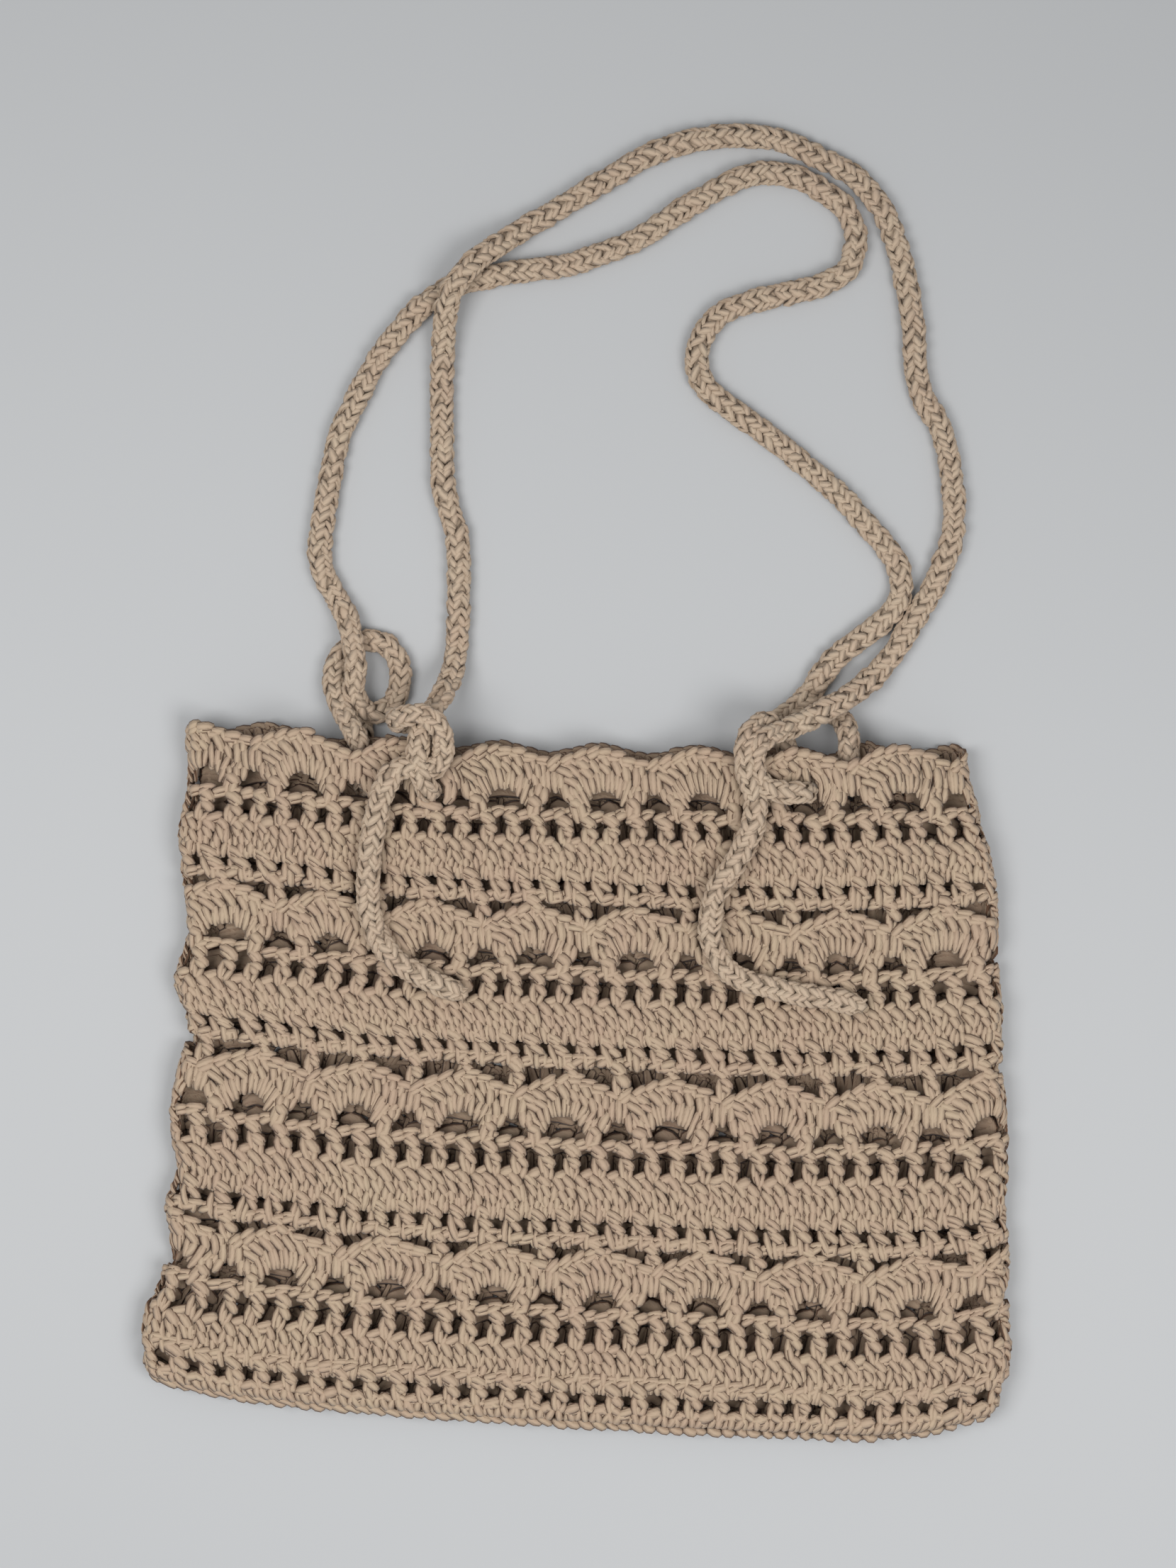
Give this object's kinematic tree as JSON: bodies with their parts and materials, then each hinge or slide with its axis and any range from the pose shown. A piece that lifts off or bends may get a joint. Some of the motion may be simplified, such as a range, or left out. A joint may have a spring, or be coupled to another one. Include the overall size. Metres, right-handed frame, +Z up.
{
  "type": "crocheted tote bag",
  "caption": "Flat crocheted cotton tote bag in a beige shell-and-mesh lace with a scalloped mouth and long cord straps tied through the rim.",
  "frame": {"origin": "centre of the bag body's footprint on the surface that it lies on, straps left out", "axes": "+X across the bag, +Y from the bottom seam to the straps, +Z up from the surface through the front panel"},
  "size_m": [0.3662, 0.5537, 0.036],
  "materials": {
    "cotton": "matte cotton yarn"
  },
  "bodies": {
    "root": {"bag_body": "cotton", "strap_front": "cotton", "strap_back": "cotton", "tail_front_left": "cotton", "tail_front_right": "cotton", "knot_front_left": "cotton", "knot_front_right": "cotton", "knot_back_left": "cotton", "knot_back_right": "cotton"}
  },
  "joints": []
}
